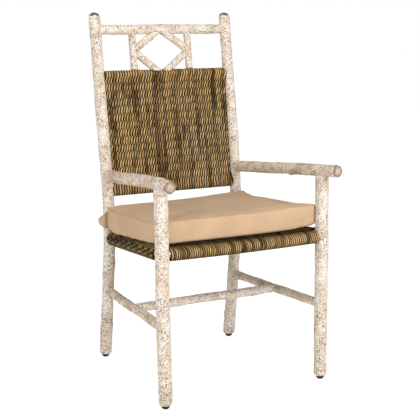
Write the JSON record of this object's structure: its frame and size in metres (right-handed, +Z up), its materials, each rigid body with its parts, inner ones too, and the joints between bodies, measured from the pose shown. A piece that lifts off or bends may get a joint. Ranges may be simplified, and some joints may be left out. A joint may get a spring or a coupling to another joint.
{
  "type": "armchair",
  "caption": "Upright rustic armchair of pale bark poles with a woven back panel, a diamond lattice above it, a woven seat and a tied tan box cushion.",
  "frame": {"origin": "centre of the chair's box at floor level, where its glides stand", "axes": "+Z up, -Y the way the chair faces, +X to the right as seen from the front"},
  "size_m": [0.5658, 0.6082, 1.0898],
  "materials": {
    "bark": "pale whitewashed bark with brown flecks",
    "rattan": "brown woven rattan strands",
    "cushion_fabric": "tan plain-woven cloth",
    "glide": "black moulded plastic"
  },
  "bodies": {
    "root": {"rear_post_left": "bark", "rear_post_right": "bark", "front_post_left": "bark", "front_post_right": "bark", "arm_left": "bark", "arm_right": "bark", "crest_rail": "bark", "spindle_left": "bark", "spindle_right": "bark", "lattice_upper_left": "bark", "lattice_upper_right": "bark", "lattice_lower_left": "bark", "lattice_lower_right": "bark", "back_top_rod": "bark", "back_bottom_rod": "bark", "seat_front_rod": "bark", "seat_rear_rod": "bark", "seat_left_rod": "bark", "seat_right_rod": "bark", "side_stretcher_left": "bark", "side_stretcher_right": "bark", "cross_stretcher": "bark", "back_weave": "rattan", "seat_weave": "rattan", "cushion": "cushion_fabric", "cushion_tie_left": "cushion_fabric", "cushion_tie_right": "cushion_fabric", "glide_front_left": "glide", "glide_front_right": "glide", "glide_rear_left": "glide", "glide_rear_right": "glide"}
  },
  "joints": []
}
